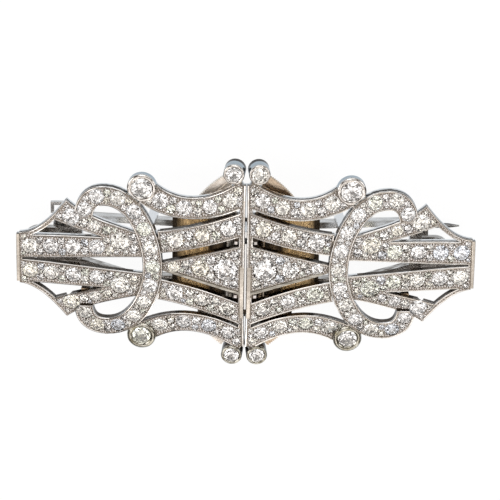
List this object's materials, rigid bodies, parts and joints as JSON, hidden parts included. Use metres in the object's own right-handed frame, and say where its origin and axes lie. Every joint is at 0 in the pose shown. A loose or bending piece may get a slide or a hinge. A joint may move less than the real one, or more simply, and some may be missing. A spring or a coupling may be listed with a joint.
{
  "type": "diamond brooch",
  "caption": "Art Deco double-clip brooch: two mirror-image pierced clips pave set with round stones slide on to a railed frame with a hinged pin; a sprung lever on each back.",
  "frame": {"origin": "centre of the bounding box's bottom face, on the surface that the brooch lies on", "axes": "+X along the brooch, +Y towards its top edge, +Z out of its front"},
  "size_m": [0.0612, 0.0298, 0.0092],
  "materials": {
    "platinum": "polished, fine wear",
    "diamond": "faceted, brilliant",
    "lever_gold": "polished, grooved",
    "frame_metal": "satin white gold",
    "pin_metal": "polished white gold"
  },
  "bodies": {
    "frame": {"brooch_frame": "frame_metal", "pin_rivet": "frame_metal"},
    "pin": {"pin_stem": "pin_metal"},
    "right_clip": {"right_clip": "platinum", "right_pave": "diamond", "right_lever_pin": "lever_gold", "right_bezel_stone_1": "diamond", "right_bezel_stone_2": "diamond", "right_bezel_stone_3": "diamond", "right_bezel_stone_4": "diamond", "right_triangle_stone_1": "diamond", "right_triangle_stone_2": "diamond", "right_triangle_stone_3": "diamond", "right_petal_stone_1": "diamond", "right_petal_stone_2": "diamond", "right_petal_stone_3": "diamond", "right_petal_stone_4": "diamond"},
    "right_lever": {"right_lever": "lever_gold"},
    "left_clip": {"left_clip": "platinum", "left_pave": "diamond", "left_lever_pin": "lever_gold", "left_bezel_stone_1": "diamond", "left_bezel_stone_2": "diamond", "left_bezel_stone_3": "diamond", "left_bezel_stone_4": "diamond", "left_triangle_stone_1": "diamond", "left_triangle_stone_2": "diamond", "left_triangle_stone_3": "diamond", "left_petal_stone_1": "diamond", "left_petal_stone_2": "diamond", "left_petal_stone_3": "diamond", "left_petal_stone_4": "diamond"},
    "left_lever": {"left_lever": "lever_gold"}
  },
  "joints": [
    {"name": "pin_hinge", "type": "hinge", "parent": "frame", "child": "pin", "pos_m": [-0.025, 0.00335, 0.00095], "axis": [0, 1, 0], "range_deg": [0, 60]},
    {"name": "right_clip_slide", "type": "slide", "parent": "frame", "child": "right_clip", "axis": [0.9954, 0, -0.0958], "range_m": [0, 0.012]},
    {"name": "left_clip_slide", "type": "slide", "parent": "frame", "child": "left_clip", "axis": [-0.9954, 0, -0.0958], "range_m": [0, 0.012]},
    {"name": "right_lever_hinge", "type": "hinge", "parent": "right_clip", "child": "right_lever", "pos_m": [0.00193, 0, 0.00598], "axis": [0, 1, 0], "range_deg": [0, 30], "stiffness_Nm_per_rad": 0.01, "springref_deg": -17.19},
    {"name": "left_lever_hinge", "type": "hinge", "parent": "left_clip", "child": "left_lever", "pos_m": [-0.00193, 0, 0.00598], "axis": [0, -1, 0], "range_deg": [0, 30], "stiffness_Nm_per_rad": 0.01, "springref_deg": -17.19}
  ]
}
